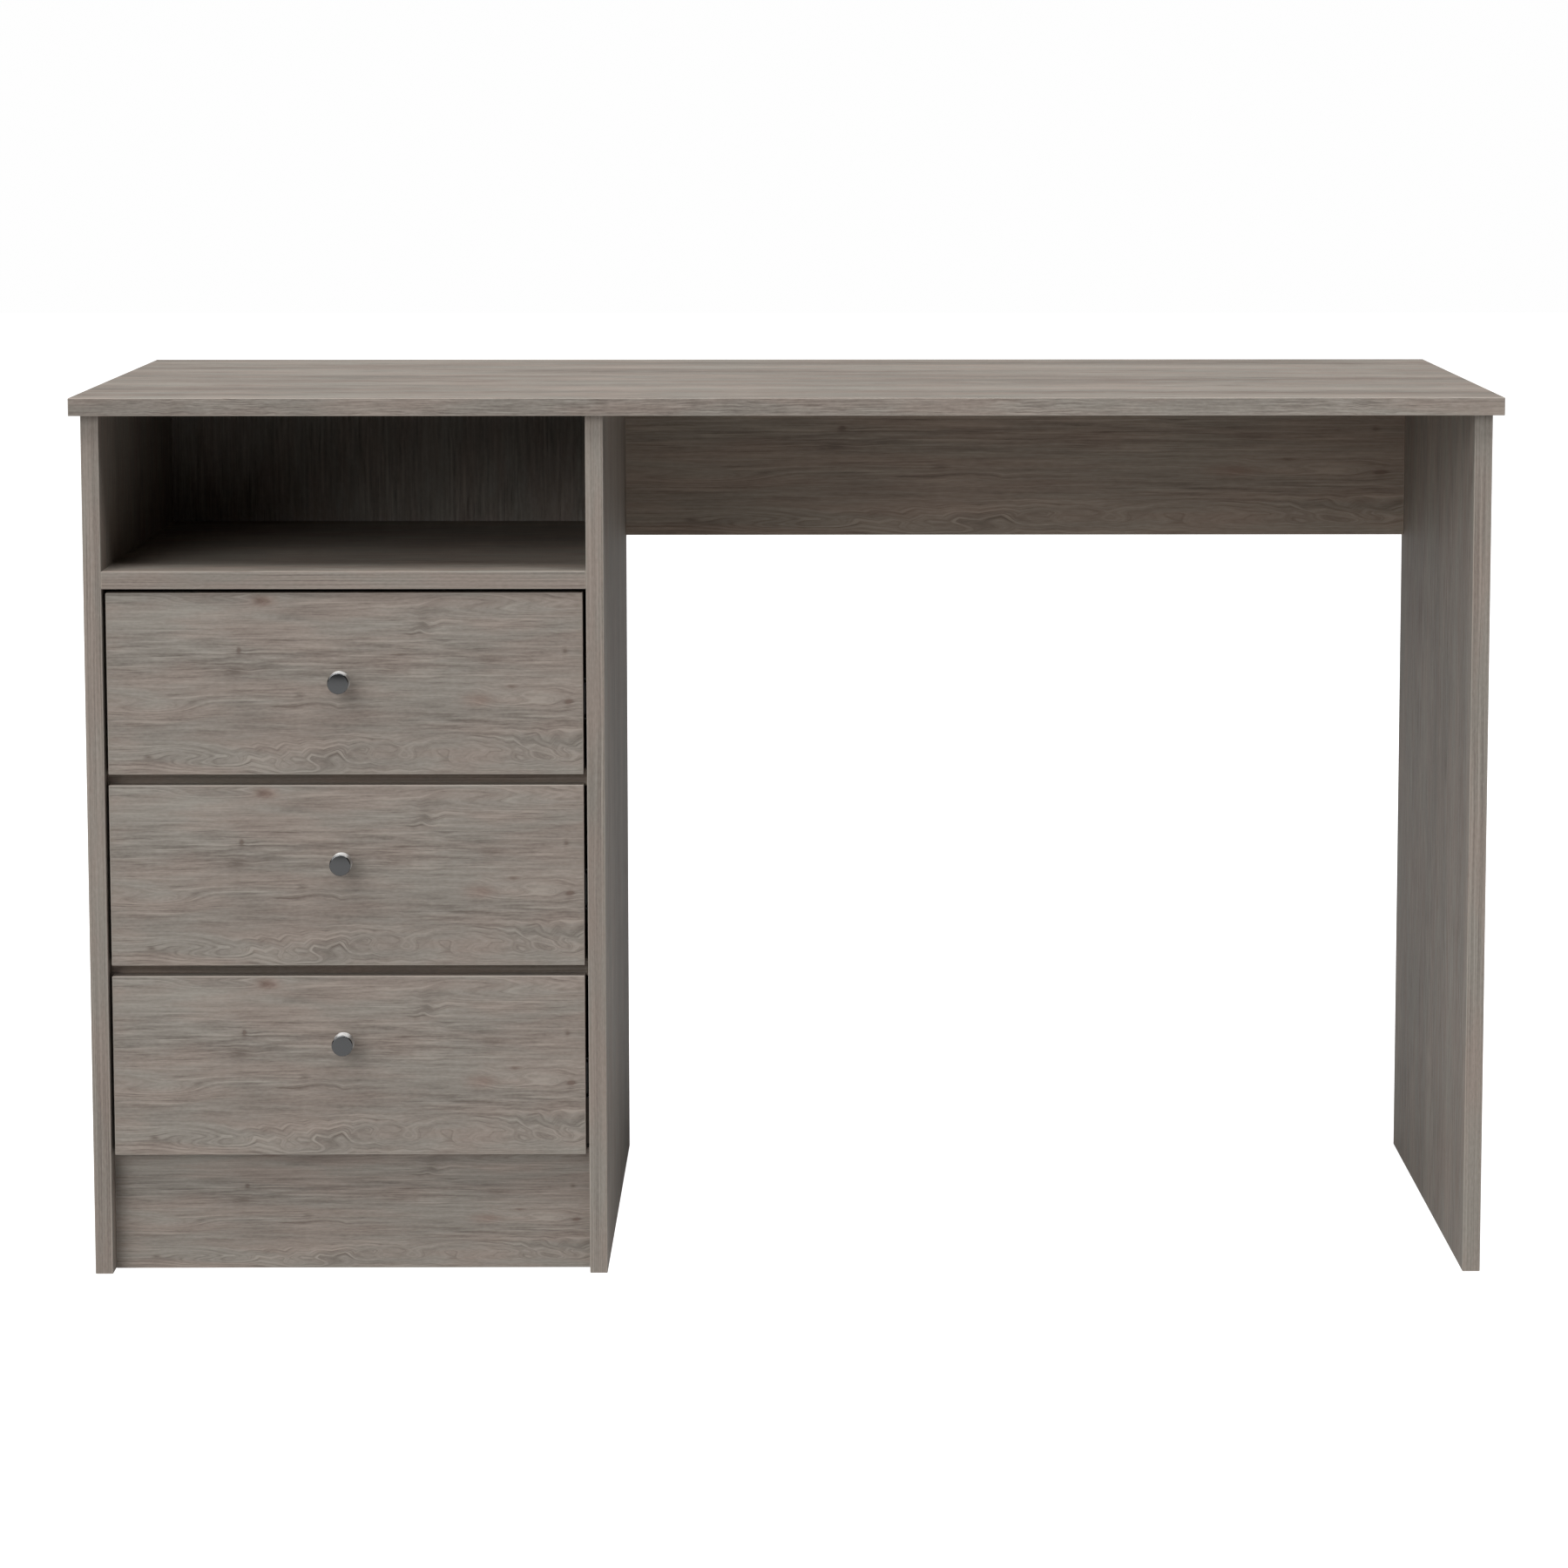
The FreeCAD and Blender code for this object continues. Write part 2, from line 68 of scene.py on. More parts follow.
class Tree:
    """Adds and links the shader nodes of one material. The methods that work out a value return
    its output socket."""

    def __init__(self, name):
        self.material = bpy.data.materials.new(name)
        self.material.use_nodes = True
        self.nodes = self.material.node_tree.nodes
        self.links = self.material.node_tree.links
        self.shader = self.nodes["Principled BSDF"]

    def add(self, kind, **settings):
        node = self.nodes.new(kind)
        for key, value in settings.items():
            setattr(node, key, value)
        return node

    def feed(self, value, socket):
        if isinstance(value, bpy.types.NodeSocket):
            self.links.new(value, socket)
        else:
            socket.default_value = value

    def math(self, operation, a, b=0.0, clamp=False):
        node = self.add("ShaderNodeMath", operation=operation, use_clamp=clamp)
        self.feed(a, node.inputs[0])
        self.feed(b, node.inputs[1])
        return node.outputs[0]

    def sum(self, first, *others):
        for other in others:
            first = self.math("ADD", first, other)
        return first

    def scaled(self, value, factor):
        return self.math("MULTIPLY", value, factor)

    def swing(self, value, size):
        """Turns a value between 0 and 1 into a swing about 0, size high from end to end."""
        return self.scaled(self.math("SUBTRACT", value, 0.5), size)

    def blend(self, factor, a, b):
        """a where factor is 0, b where it is 1."""
        node = self.add("ShaderNodeMix", data_type="FLOAT")
        self.feed(factor, node.inputs["Factor"])
        self.feed(a, node.inputs["A"])
        self.feed(b, node.inputs["B"])
        return node.outputs["Result"]

    def tint(self, factor, a, b, mode="MIX"):
        """The same for colours, in any of the Mix node's modes."""
        node = self.add("ShaderNodeMix", data_type="RGBA", blend_type=mode)
        self.feed(factor, node.inputs["Factor"])
        self.feed(a, node.inputs[6])
        self.feed(b, node.inputs[7])
        return node.outputs[2]

    def combine(self, x, y, z):
        node = self.add("ShaderNodeCombineXYZ")
        for value, socket in zip((x, y, z), node.inputs):
            self.feed(value, socket)
        return node.outputs[0]

    def noise(self, x, y, z, detail, roughness=0.5):
        """Noise between 0 and 1, about one cell per unit of x, y and z."""
        node = self.add("ShaderNodeTexNoise")
        self.feed(self.combine(x, y, z), node.inputs["Vector"])
        node.inputs["Scale"].default_value = 1.0
        node.inputs["Detail"].default_value = detail
        node.inputs["Roughness"].default_value = roughness
        return node.outputs["Fac"]

    def cells(self, axes, rates, detail):
        """Noise with as many cells per metre along each of the axes as rates says."""
        return self.noise(*[self.scaled(axis, rate) for axis, rate in zip(axes, rates)],
                          detail=detail)

    def ramp(self, value, low, high, to_low=0.0, to_high=1.0):
        """A smooth step from to_low to to_high, as value goes from low to high."""
        node = self.add("ShaderNodeMapRange", interpolation_type="SMOOTHSTEP")
        self.feed(value, node.inputs["Value"])
        for name, number in (("From Min", low), ("From Max", high),
                             ("To Min", to_low), ("To Max", to_high)):
            node.inputs[name].default_value = number
        return node.outputs["Result"]

    def coordinates(self, kind):
        node = self.add("ShaderNodeTexCoord")
        split = self.add("ShaderNodeSeparateXYZ")
        self.links.new(node.outputs[kind], split.inputs[0])
        return split.outputs

    def bump(self, height, distance, strength):
        node = self.add("ShaderNodeBump")
        node.inputs["Strength"].default_value = strength
        node.inputs["Distance"].default_value = distance
        self.feed(height, node.inputs["Height"])
        self.links.new(node.outputs["Normal"], self.shader.inputs["Normal"])

    def surface(self, color, roughness, metallic=0.0):
        self.feed(color, self.shader.inputs["Base Color"])
        self.feed(roughness, self.shader.inputs["Roughness"])
        self.feed(metallic, self.shader.inputs["Metallic"])

    def finish(self, marks, color, roughness, spread, relief, strength, metallic=0.0):
        """Sets the whole surface. Its roughness and its relief, in metres, follow the marks."""
        self.surface(color, self.sum(roughness, self.scaled(marks, spread)), metallic)
        self.bump(marks, relief, strength)
        return self.material


# ---- Laminated oak ----

OAK_LIGHT = (0.345, 0.306, 0.268, 1)
OAK_DARK = (0.150, 0.122, 0.103, 1)
OAK_WARM = (1.035, 0.985, 0.965, 1)
OAK_COOL = (0.975, 1.005, 1.0, 1)
OAK_RED = (1.10, 0.90, 0.85, 1)

# The layers of noise in the grain. Each has its cells per metre along the grain and across it, the
# slice of the noise that it is cut from, and its detail. For the three kinds of line, the first
# value multiplies the line rate instead.
WAVE = (5.0, 26.0, 0.0, 1.0)            # bends the lines gently
RIPPLE = (55.0, 42.0, 3.0, 1.0)         # bends them tightly, mostly in the swirls
STREAKS = (1.0, 320.0, 11.0, 3.0)
PALE_LINES = (0.5, 400.0, 13.0, 1.0)
DASHES = (1.5, 560.0, 19.0, 1.0)
BANDS = (1.8, 18.0, 17.0, 3.0)          # broad paler and darker bands
FLECK = (200.0, 650.0, 29.0, 2.0)
PATCHES = (6.0, 34.0, 31.0, 2.0)        # where the lines are faint or strong
HUE = (9.0, 45.0, 23.0, 3.0)
STREAK_ROUGHNESS = 0.62                 # of the noise, not of the surface
FACE_LINE_RATE = 20.0                   # per metre along the grain, on wide faces
EDGE_LINE_SHRINK = 2.0                  # how much narrower the lines are on edge bands

# How the lines bend, in metres.
WAVE_BEND = 0.004
RIPPLE_BEND = 0.013
CALM = 0.05                             # the share of the ripple that is left outside the swirls
TIP_ROUNDING = 0.0008                   # of a flame's tips
CHEVRON_RATE = (50.0, 28.0)             # zigzags per metre along the grain and across it
CHEVRON_WAVE = 3.0
CHEVRON_RIPPLE = 0.6
CHEVRON_FOLD = 0.5                      # a zigzag runs from 0 up to this and back

# What each layer adds to the tone, which is 0 at OAK_LIGHT and 1 at OAK_DARK.
TONE = 0.41
STREAK_TONE = 2.0
DASH_TONE = 0.36
PALE_TONE = -0.48
FLECK_TONE = 0.60
# Painted highlight on the chamfers, lightening them as if they caught the light, and the edge
# band's own paler line along every edge.
CHAMFER_HIGHLIGHT_AND_BAND_TONE = -0.4
LINE_EDGES = (0.56, 0.76)               # noise levels between which a line fades in
PATCH_EDGES = (0.38, 0.62)
PATCH_STRENGTH = (0.55, 1.05)           # of the lines in a faint patch and in a strong one
SWIRL_STRENGTH = 0.3                    # added to that in the swirls
KNOT_STRENGTH = (0.4, 1.6)              # from the low to the high places of the ripple
HUE_EDGES = (0.36, 0.64)

OAK_ROUGHNESS = 0.5
STREAK_MATT = 0.12                      # added to the roughness in the darkest streaks
DASH_MATT = 0.1
STREAK_RELIEF = -0.6                    # dark lines lie lower than the rest
DASH_RELIEF = -0.6
FLECK_RELIEF = -0.2
OAK_RELIEF = 0.00012                    # metres
OAK_BUMP = 0.35                         # strength of the relief's shading

BAND_LINE = 0.0008                      # width of the pale line where an edge band meets a face
FLAT = 0.9                              # chamfers have no normal share as large as this
FACING = 0.5                            # a face looks along an axis if its share is over this


def spot(tree, u, v, centre, size, height):
    """A soft elongated hill, height high, at a place on the board."""
    du = tree.scaled(tree.math("SUBTRACT", u, centre[0]), 1 / size[0])
    dv = tree.scaled(tree.math("SUBTRACT", v, centre[1]), 1 / size[1])
    square = tree.sum(tree.math("POWER", du, 2.0), tree.math("POWER", dv, 2.0))
    return tree.scaled(tree.math("EXPONENT", tree.scaled(square, -1.0)), height)


def flame(tree, u, v, centre, reach, half, slope):
    """Bends the grain lines round centre into nested tips. They point along the grain, forwards
    where slope is positive."""
    ahead = tree.math("SUBTRACT", u, centre[0])
    aside = tree.math("SUBTRACT", v, centre[1])
    far = tree.math("ABSOLUTE", tree.scaled(ahead, 1 / reach))
    wide = tree.math("ABSOLUTE", tree.scaled(aside, 1 / half))
    fall = tree.sum(tree.math("POWER", far, 3.0), tree.math("POWER", wide, 3.0))
    mask = tree.math("EXPONENT", tree.scaled(fall, -1.0))
    rounded = tree.math("SQRT", tree.sum(tree.math("MULTIPLY", aside, aside), TIP_ROUNDING ** 2))
    fold = tree.sum(rounded, tree.scaled(aside, -1.0), tree.scaled(ahead, slope))
    return tree.math("MULTIPLY", mask, fold)


def layer(tree, u, v, seed, kind, roughness=0.5):
    """One layer of the grain, of the kinds listed above."""
    along, across, cut, detail = kind
    return tree.noise(tree.scaled(u, along), tree.scaled(v, across), seed + cut, detail, roughness)


def bent_grain(tree, u, v, wave, ripple, stir, figure):
    """v with the bends of the grain added to it, so that each grain line has one value."""
    flow = tree.sum(v, tree.swing(wave, WAVE_BEND),
                    tree.scaled(tree.swing(ripple, stir), RIPPLE_BEND))
    for fold in figure["flames"]:
        flow = tree.sum(flow, flame(tree, u, v, *fold))
    if figure["chevrons"]:
        phase = tree.sum(tree.scaled(u, CHEVRON_RATE[0]), tree.scaled(v, CHEVRON_RATE[1]),
                         tree.scaled(wave, CHEVRON_WAVE), tree.scaled(ripple, CHEVRON_RIPPLE))
        zigzag = tree.math("SUBTRACT", tree.math("PINGPONG", phase, CHEVRON_FOLD), CHEVRON_FOLD / 2)
        for chevron in figure["chevrons"]:
            flow = tree.sum(flow, tree.math("MULTIPLY", zigzag, spot(tree, u, v, *chevron)))
    return flow


def oak_grain(tree, u, v, seed, face, chamfer_highlight_and_band, figure):
    """Colour, roughness and height of printed oak. u runs along the grain and v across it, in
    metres. face is 1 on wide faces and 0 on edge bands; chamfer_highlight_and_band is 1 along
    every edge, where the tone is lightened: a painted highlight on the chamfers, and the edge
    band's own paler line."""
    wave = layer(tree, u, v, seed, WAVE)
    ripple = layer(tree, u, v, seed, RIPPLE)
    stir = CALM
    for swirl in figure["swirls"]:
        stir = tree.sum(stir, spot(tree, u, v, *swirl))
    flow = bent_grain(tree, u, v, wave, ripple, stir, figure)

    along = tree.math("MULTIPLY", u, tree.blend(face, figure["edge_rate"], FACE_LINE_RATE))
    across = tree.math("MULTIPLY", flow, tree.blend(face, EDGE_LINE_SHRINK, 1.0))
    streaks = layer(tree, along, across, seed, STREAKS, STREAK_ROUGHNESS)
    pale = tree.ramp(layer(tree, along, across, seed, PALE_LINES), *LINE_EDGES)
    dashes = tree.ramp(layer(tree, along, across, seed, DASHES), *LINE_EDGES)
    bands = layer(tree, u, flow, seed, BANDS)
    fleck = layer(tree, u, v, seed, FLECK)
    patches = layer(tree, u, v, seed, PATCHES)
    lively = tree.math("ADD", tree.ramp(patches, *PATCH_EDGES, *PATCH_STRENGTH),
                       tree.scaled(stir, SWIRL_STRENGTH))

    lines = tree.sum(tree.swing(streaks, STREAK_TONE), tree.scaled(dashes, DASH_TONE),
                     tree.scaled(pale, PALE_TONE))
    # The edges are lightened: on the chamfers as a painted highlight, on the edge band's line in
    # its own paler colour.
    tone = tree.sum(TONE, tree.math("MULTIPLY", lines, lively), tree.swing(bands, figure["bands"]),
                    tree.swing(fleck, FLECK_TONE), tree.scaled(chamfer_highlight_and_band, CHAMFER_HIGHLIGHT_AND_BAND_TONE))
    redness = 0.0
    for centre, size, depth, red in figure["knots"]:
        mark = tree.math("MULTIPLY", spot(tree, u, v, centre, size, depth),
                         tree.blend(ripple, *KNOT_STRENGTH))
        tone = tree.sum(tone, tree.scaled(mark, face))
        redness = tree.sum(redness, tree.scaled(mark, red))
    tone = tree.math("ADD", tone, 0.0, clamp=True)

    cast = tree.tint(tree.ramp(layer(tree, u, v, seed, HUE), *HUE_EDGES), OAK_COOL, OAK_WARM)
    if figure["knots"]:
        cast = tree.tint(tree.math("MULTIPLY", redness, face, clamp=True), cast, OAK_RED)
    color = tree.tint(1.0, tree.tint(tone, OAK_LIGHT, OAK_DARK), cast, mode="MULTIPLY")
    roughness = tree.sum(OAK_ROUGHNESS, tree.scaled(streaks, STREAK_MATT),
                         tree.scaled(dashes, DASH_MATT))
    height = tree.sum(tree.scaled(streaks, STREAK_RELIEF), tree.scaled(dashes, DASH_RELIEF),
                      tree.scaled(fleck, FLECK_RELIEF))
    return color, roughness, height


def edges_of(tree, low, high, share, normal):
    """1 on the chamfers and on a narrow line along every edge of a board, 0 elsewhere. share is
    the place in the board's box, from 0 to 1. The tone is lightened there: a painted highlight
    on the chamfers, and the edge band's own paler colour on the line."""
    largest = tree.math("MAXIMUM", tree.math("MAXIMUM", normal[X], normal[Y]), normal[Z])
    chamfer_highlight_and_band = tree.math("LESS_THAN", largest, FLAT)
    for axis in (X, Y, Z):
        inward = tree.math("SUBTRACT", 0.5, tree.math("ABSOLUTE", tree.swing(share[axis], 1.0)))
        # An outer face lies at an end of the box along its own normal. Adding the normal's share,
        # which is near 1 there, keeps the whole face from counting as an edge.
        depth = tree.sum(tree.scaled(inward, high[axis] - low[axis]), normal[axis])
        chamfer_highlight_and_band = tree.math("MAXIMUM", chamfer_highlight_and_band, tree.math("LESS_THAN", depth, BAND_LINE))
    return chamfer_highlight_and_band


# edge_rate is the line rate along the grain on edge bands, and bands is how strong the broad bands
# are in the tone.
PLAIN = {"flames": (), "chevrons": (), "swirls": (), "knots": (), "edge_rate": 4.0, "bands": 0.9}


def oak_board(node, grain, across, seed, figure=PLAIN, fit=None):
    """The laminate of a board, as large as node. grain and across are the axes of its wide faces.
    Its narrow faces carry an edge band with plain straight lines. fit gives a printed size in
    metres for boards whose picture is stretched over the whole face, whatever the board's size."""
    tree = Tree(f"oak_{node}")
    low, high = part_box(node)
    normal = [tree.math("ABSOLUTE", out) for out in tree.coordinates("Normal")]
    share = tree.coordinates("Generated")
    place = list(tree.coordinates("Object"))
    thick = ({X, Y, Z} - {grain, across}).pop()

    chamfer_highlight_and_band = edges_of(tree, low, high, share, normal)
    if fit:
        place[grain] = tree.scaled(share[grain], fit[0])
        place[across] = tree.scaled(share[across], fit[1])
    face = tree.math("GREATER_THAN", normal[thick], FACING)
    end = tree.math("GREATER_THAN", normal[grain], FACING)
    u = tree.blend(end, place[grain], place[across])
    v = tree.blend(face, place[thick], place[across])
    color, roughness, height = oak_grain(tree, u, v, seed, face, chamfer_highlight_and_band, figure)
    # Painted bounce light on boards in shade: a warm cast, which also brightens the modesty board.
    if node in SHADE_BOUNCE_TINT:
        color = tree.tint(1.0, color, SHADE_BOUNCE_TINT[node], mode="MULTIPLY")
    tree.surface(color, roughness)
    tree.bump(height, OAK_RELIEF, OAK_BUMP)
    return tree.material


# The picture printed on every drawer front, and stretched over the plinth and the modesty board.
# Places and sizes are in metres from its lower left corner. A flame has a centre, its reach along
# the grain, its half width and the slope of its sides. Chevrons, swirls and knots have a centre, a
# size and a strength, which is in metres for chevrons; a knot also has its redness.
FRONT_LOW, FRONT_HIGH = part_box("upper_drawer_front")
PRINT = (FRONT_HIGH.x - FRONT_LOW.x, FRONT_HIGH.z - FRONT_LOW.z)
PRINT_SEED = 2.0
FRONT_FIGURE = {
    "flames": (
        ((0.018, 0.063), 0.052, 0.011, 0.14),
        ((0.105, 0.151), 0.048, 0.007, -0.14),
        ((0.350, 0.147), 0.070, 0.010, 0.20),
        ((0.335, 0.021), 0.066, 0.013, 0.26),
        ((0.083, 0.016), 0.036, 0.010, 0.26),
        ((0.165, 0.013), 0.032, 0.012, -0.30),
        ((0.232, 0.022), 0.030, 0.011, 0.30),
        ((0.352, 0.068), 0.030, 0.009, -0.24),
    ),
    "chevrons": (
        ((0.205, 0.016), (0.095, 0.015), 0.0095),
        ((0.368, 0.019), (0.036, 0.016), 0.0100),
        ((0.272, 0.129), (0.016, 0.013), 0.0030),
    ),
    "swirls": (
        ((0.230, 0.016), (0.170, 0.018), 0.15),
        ((0.355, 0.066), (0.050, 0.013), 0.80),
        ((0.185, 0.057), (0.034, 0.009), 0.70),
        ((0.268, 0.128), (0.016, 0.014), 0.90),
        ((0.108, 0.092), (0.024, 0.012), 0.50),
        ((0.360, 0.146), (0.060, 0.008), 0.30),
    ),
    "knots": (
        ((0.106, 0.088), (0.0085, 0.0050), 0.51, 0.0),
        ((0.1115, 0.1055), (0.0018, 0.0026), 0.81, 0.4),
        ((0.162, 0.068), (0.0042, 0.0026), 0.49, 0.0),
        ((0.132, 0.148), (0.0090, 0.0042), 0.49, 1.6),
        ((0.153, 0.135), (0.0150, 0.0045), 0.30, 0.0),
        ((0.267, 0.129), (0.0075, 0.0070), 0.41, 0.0),
        ((0.313, 0.063), (0.0120, 0.0060), 0.16, 4.0),
        ((0.341, 0.075), (0.0046, 0.0014), 0.61, 0.8),
        ((0.389, 0.062), (0.0034, 0.0024), 0.74, 0.8),
        ((0.386, 0.105), (0.0018, 0.0026), 0.47, 0.6),
        ((0.034, 0.015), (0.0036, 0.0018), 0.54, 0.2),
        ((0.275, 0.058), (0.0100, 0.0016), 0.41, 0.0),
    ),
    "edge_rate": 4.0,
    "bands": 1.1,
}

# The desktop's front edge band is mottled in places: each has its x, its length and its strength.
# There v is the height above the floor.
MOTTLED = ((-0.53, 0.05, 0.4), (-0.43, 0.04, 0.3), (-0.05, 0.07, 0.2), (0.22, 0.05, 0.3),
           (0.48, 0.05, 0.4))
MOTTLED_HEIGHT = 0.05
DESKTOP_FIGURE = {
    "flames": (),
    "chevrons": (),
    "swirls": tuple(((x, TOP_MIDDLE), (length, MOTTLED_HEIGHT), strength)
                    for x, length, strength in MOTTLED),
    "knots": (),
    "edge_rate": 36.0,
    "bands": 1.8,
}

# Painted bounce light: warm casts multiplied into the same laminate on boards that stand in shade,
# the modesty board under the desktop and the rails between the drawer fronts, for light bounced
# between the wooden boards. The modesty board's cast also brightens it.
SHADE_BOUNCE_TINT = {
    "modesty_panel": (1.15, 1.06, 0.98, 1),
    "upper_drawer_rail": (1.04, 0.98, 0.93, 1),
    "lower_drawer_rail": (1.04, 0.98, 0.93, 1),
}

# Boards with plain grain: the axis along it, the other axis of the wide faces, and the seed.
PLAIN_BOARDS = {
    "left_side_panel": (Z, Y, 41.0),
    "middle_side_panel": (Z, Y, 53.0),
    "right_leg_panel": (Z, Y, 67.0),
    "pedestal_back_panel": (Z, X, 71.0),
    "open_shelf": (X, Y, 97.0),
    "upper_drawer_rail": (X, Y, 101.0),
    "lower_drawer_rail": (X, Y, 113.0),
}
DESKTOP_SEED = 31.0


def oak_boards():
    """The three drawer fronts share one material; every other board has its own."""
    front = oak_board("upper_drawer_front", X, Z, PRINT_SEED, FRONT_FIGURE, fit=PRINT)
    for name in DRAWERS:
        paint(f"{name}_drawer_front", front)
    for node in ("plinth_board", "modesty_panel"):
        paint(node, oak_board(node, X, Z, PRINT_SEED, FRONT_FIGURE, fit=PRINT))
    paint("desktop", oak_board("desktop", X, Y, DESKTOP_SEED, DESKTOP_FIGURE))
    for node, (grain, across, seed) in PLAIN_BOARDS.items():
        paint(node, oak_board(node, grain, across, seed))


def paint(node, material):
    """Puts a material on every slot of a CAD node."""
    for place in NODES[node].material_slots:
        place.material = material


# ---- Other materials ----

# Two colours, mixed by the material's own noise.
LAMINATE = ((0.44, 0.42, 0.39, 1), (0.50, 0.48, 0.45, 1))
HARDBOARD = ((0.42, 0.40, 0.37, 1), (0.52, 0.50, 0.46, 1))
BEECH = ((0.55, 0.36, 0.19, 1), (0.42, 0.26, 0.13, 1))

SLIDE_STEEL = (0.24, 0.245, 0.25, 1)
ZINC_STEEL = (0.66, 0.66, 0.64, 1)
CAM_ZINC = (0.50, 0.50, 0.50, 1)
CLOUDED = 0.8                   # how dark the clouds on plated steel are
# The face's dark colour is a painted reflection: the rim's metal, darkened for the dark
# surroundings that the face mirrors.
KNOB_FACE_DARKENED = (0.17, 0.172, 0.175, 1)
KNOB_RIM = (0.64, 0.635, 0.63, 1)
RIM_STRETCH = 0.9               # how far the rim draws out its highlights
RIM_TURN = 0.25                 # of a full turn, from round the knob's axis to along it


def plain_laminate():
    """Drawer sides and backs: pale grey laminate with a faint linear texture."""
    tree = Tree("drawer_laminate")
    x, y, z = tree.coordinates("Object")
    line = tree.cells((y, z, x), (14.0, 700.0, 14.0), detail=3.0)
    return tree.finish(line, tree.tint(line, *LAMINATE), roughness=0.45, spread=0.15,
                       relief=0.00008, strength=0.3)


def hardboard():
    """Drawer bottoms: lacquered hardboard, slightly mottled."""
    tree = Tree("drawer_hardboard")
    mottle = tree.cells(tree.coordinates("Object"), (90.0, 90.0, 90.0), detail=5.0)
    return tree.finish(mottle, tree.tint(mottle, *HARDBOARD), roughness=0.38, spread=0.2,
                       relief=0.0001, strength=0.25)


def beech():
    """Dowels: plain beech with fine flecks."""
    tree = Tree("beech")
    fleck = tree.cells(tree.coordinates("Object"), (400.0, 400.0, 400.0), detail=3.0)
    return tree.finish(fleck, tree.tint(fleck, *BEECH), roughness=0.55, spread=0.2,
                       relief=0.0001, strength=0.3)


def plated_steel(name, color, roughness, grain):
    """Plated steel with rolling marks that run along the desk's depth. grain is how many of them
    there are per metre."""
    tree = Tree(name)
    place = tree.coordinates("Object")
    marks = tree.cells(place, (grain, 30.0, grain), detail=4.0)
    cloud = tree.cells(place, (60.0, 60.0, 60.0), detail=3.0)
    dark = tuple(channel * CLOUDED for channel in color[:3]) + (1,)
    return tree.finish(marks, tree.tint(cloud, color, dark), roughness=roughness, spread=0.15,
                       relief=0.00005, strength=0.25, metallic=1.0)


def knob_face():
    """Polished metal with very faint marks. Its dark colour is a painted reflection: the rim's
    metal, darkened for the dark surroundings that the face mirrors.
    """
    tree = Tree("knob_face")
    marks = tree.cells(tree.coordinates("Object"), (900.0, 900.0, 900.0), detail=2.0)
    return tree.finish(marks, KNOB_FACE_DARKENED, roughness=0.13, spread=0.06, relief=0.00001,
                       strength=0.15, metallic=1.0)


def knob_rim():
    """Satin metal, turned round the knob's axis, which draws its highlights out along it."""
    tree = Tree("knob_rim")
    marks = tree.cells(tree.coordinates("Object"), (40.0, 3000.0, 40.0), detail=2.0)
    turned = tree.add("ShaderNodeTangent", direction_type="RADIAL", axis="Y")
    tree.links.new(turned.outputs[0], tree.shader.inputs["Tangent"])
    tree.shader.inputs["Anisotropic"].default_value = RIM_STRETCH
    tree.shader.inputs["Anisotropic Rotation"].default_value = RIM_TURN
    return tree.finish(marks, KNOB_RIM, roughness=0.42, spread=0.06, relief=0.00001,
                       strength=0.15, metallic=1.0)


def fittings():
    """Everything that isn't laminated oak: drawer boxes, slides, fasteners and knobs."""
    laminate = plain_laminate()
    sheet = hardboard()
    slide = plated_steel("slide_steel", SLIDE_STEEL, roughness=0.42, grain=900.0)
    zinc = plated_steel("zinc_steel", ZINC_STEEL, roughness=0.24, grain=300.0)
    cam = plated_steel("cam_zinc", CAM_ZINC, roughness=0.38, grain=300.0)
    paint("frame_dowels", beech())
    for node in ("frame_cam_bolts", "frame_screws", "corner_brackets"):
        paint(node, zinc)
    paint("frame_cam_locks", cam)
    face, rim = knob_face(), knob_rim()
    for name in DRAWERS:
        for part in ("left_side", "right_side", "back"):
            paint(f"{name}_drawer_{part}", laminate)
        paint(f"{name}_drawer_bottom", sheet)
        for part in ("knob_screw", "cam_bolts", "slide_screws"):
            paint(f"{name}_drawer_{part}", zinc)
        paint(f"{name}_drawer_cam_locks", cam)
        for side in ("left", "right"):
            paint(f"{name}_{side}_cabinet_member", slide)
            paint(f"{name}_{side}_drawer_member", slide)
        paint(f"{name}_intermediate_members", slide)
        knob(name, face, rim)


# ---- Knobs ----

KNOB_STEPS = 96                 # corners of each ring
KNOB_ROUNDING = 0.0009
KNOB_NECK = 0.5                 # the neck's radius, as a share of the head's
KNOB_NECK_LENGTH = 0.44         # as a share of the whole knob's length
ARC_STEPS = 5
SHARP_ANGLE = 40                # degrees, over which an edge isn't shaded smooth
FACE, RIM = 0, 1                # places of a knob's two materials on its mesh


def knob_outline(head, length):
    """The two stretches of a knob's outline: neck with rim, and face. head is the head's radius.
    Each point has its distance from the drawer front and its own radius."""
    neck = head * KNOB_NECK
    head_start = length * KNOB_NECK_LENGTH
    edge = KNOB_ROUNDING
    rim = [(0.0, neck), (head_start, neck), (head_start, head - edge)]
    rim += arc((head_start + edge, head - edge), edge, 180, 90)
    face = arc((length - edge, head - edge), edge, 90, 0)
    face.append((length, 0.0))
    return rim, face


def arc(centre, radius, start, stop):
    """Points on an arc, with angles in degrees from the outline's first axis."""
    points = []
    for step in range(ARC_STEPS + 1):
        angle = math.radians(start + (stop - start) * step / ARC_STEPS)
        points.append((centre[0] + radius * math.cos(angle),
                       centre[1] + radius * math.sin(angle)))
    return points


